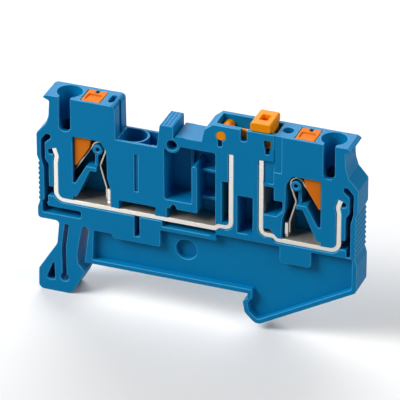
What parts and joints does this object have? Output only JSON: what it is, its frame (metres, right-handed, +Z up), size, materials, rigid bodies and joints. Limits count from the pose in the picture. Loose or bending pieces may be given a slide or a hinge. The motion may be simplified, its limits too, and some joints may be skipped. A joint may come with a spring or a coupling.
{
  "type": "disconnect terminal block",
  "caption": "Slim moulded terminal block with push-in wire clamps, orange release buttons and a hinged knife lever that opens the current path; its feet snap over a lipped rail.",
  "frame": {"origin": "on the mounting seat that lies on the rail's lips, midway between the two hooks and midway through the block's thickness", "axes": "+X along the block from the sprung foot to the fixed hook, +Y from the open side to the closed side, +Z up to the wire entries"},
  "size_m": [0.0665, 0.0062, 0.0459],
  "materials": {
    "blue_housing": "fine matt moulded polyamide",
    "tinned_bar": "tin plated copper strip",
    "spring_steel": "plain spring steel strip",
    "orange_button": "satin moulded plastic",
    "orange_lever": "satin to gloss moulded plastic",
    "tinned_knife": "tin plated copper plate"
  },
  "bodies": {
    "base": {"housing": "blue_housing", "left_current_bar": "tinned_bar", "right_current_bar": "tinned_bar", "left_clamp_spring": "spring_steel", "right_clamp_spring": "spring_steel"},
    "lever": {"disconnect_lever": "orange_lever", "knife_blade": "tinned_knife"},
    "left_button": {"left_release_button": "orange_button"},
    "right_button": {"right_release_button": "orange_button"}
  },
  "joints": [
    {"name": "lever_hinge", "type": "hinge", "parent": "base", "child": "lever", "pos_m": [0.012, 0, 0.034], "axis": [0, -1, 0], "range_deg": [0, 110]},
    {"name": "left_button_press", "type": "slide", "parent": "base", "child": "left_button", "axis": [0, 0, -1], "range_m": [0, 0.0015], "stiffness_N_per_m": 2000, "deforming": ["left_clamp_spring"]},
    {"name": "right_button_press", "type": "slide", "parent": "base", "child": "right_button", "axis": [0, 0, -1], "range_m": [0, 0.0015], "stiffness_N_per_m": 2000, "deforming": ["right_clamp_spring"]}
  ]
}
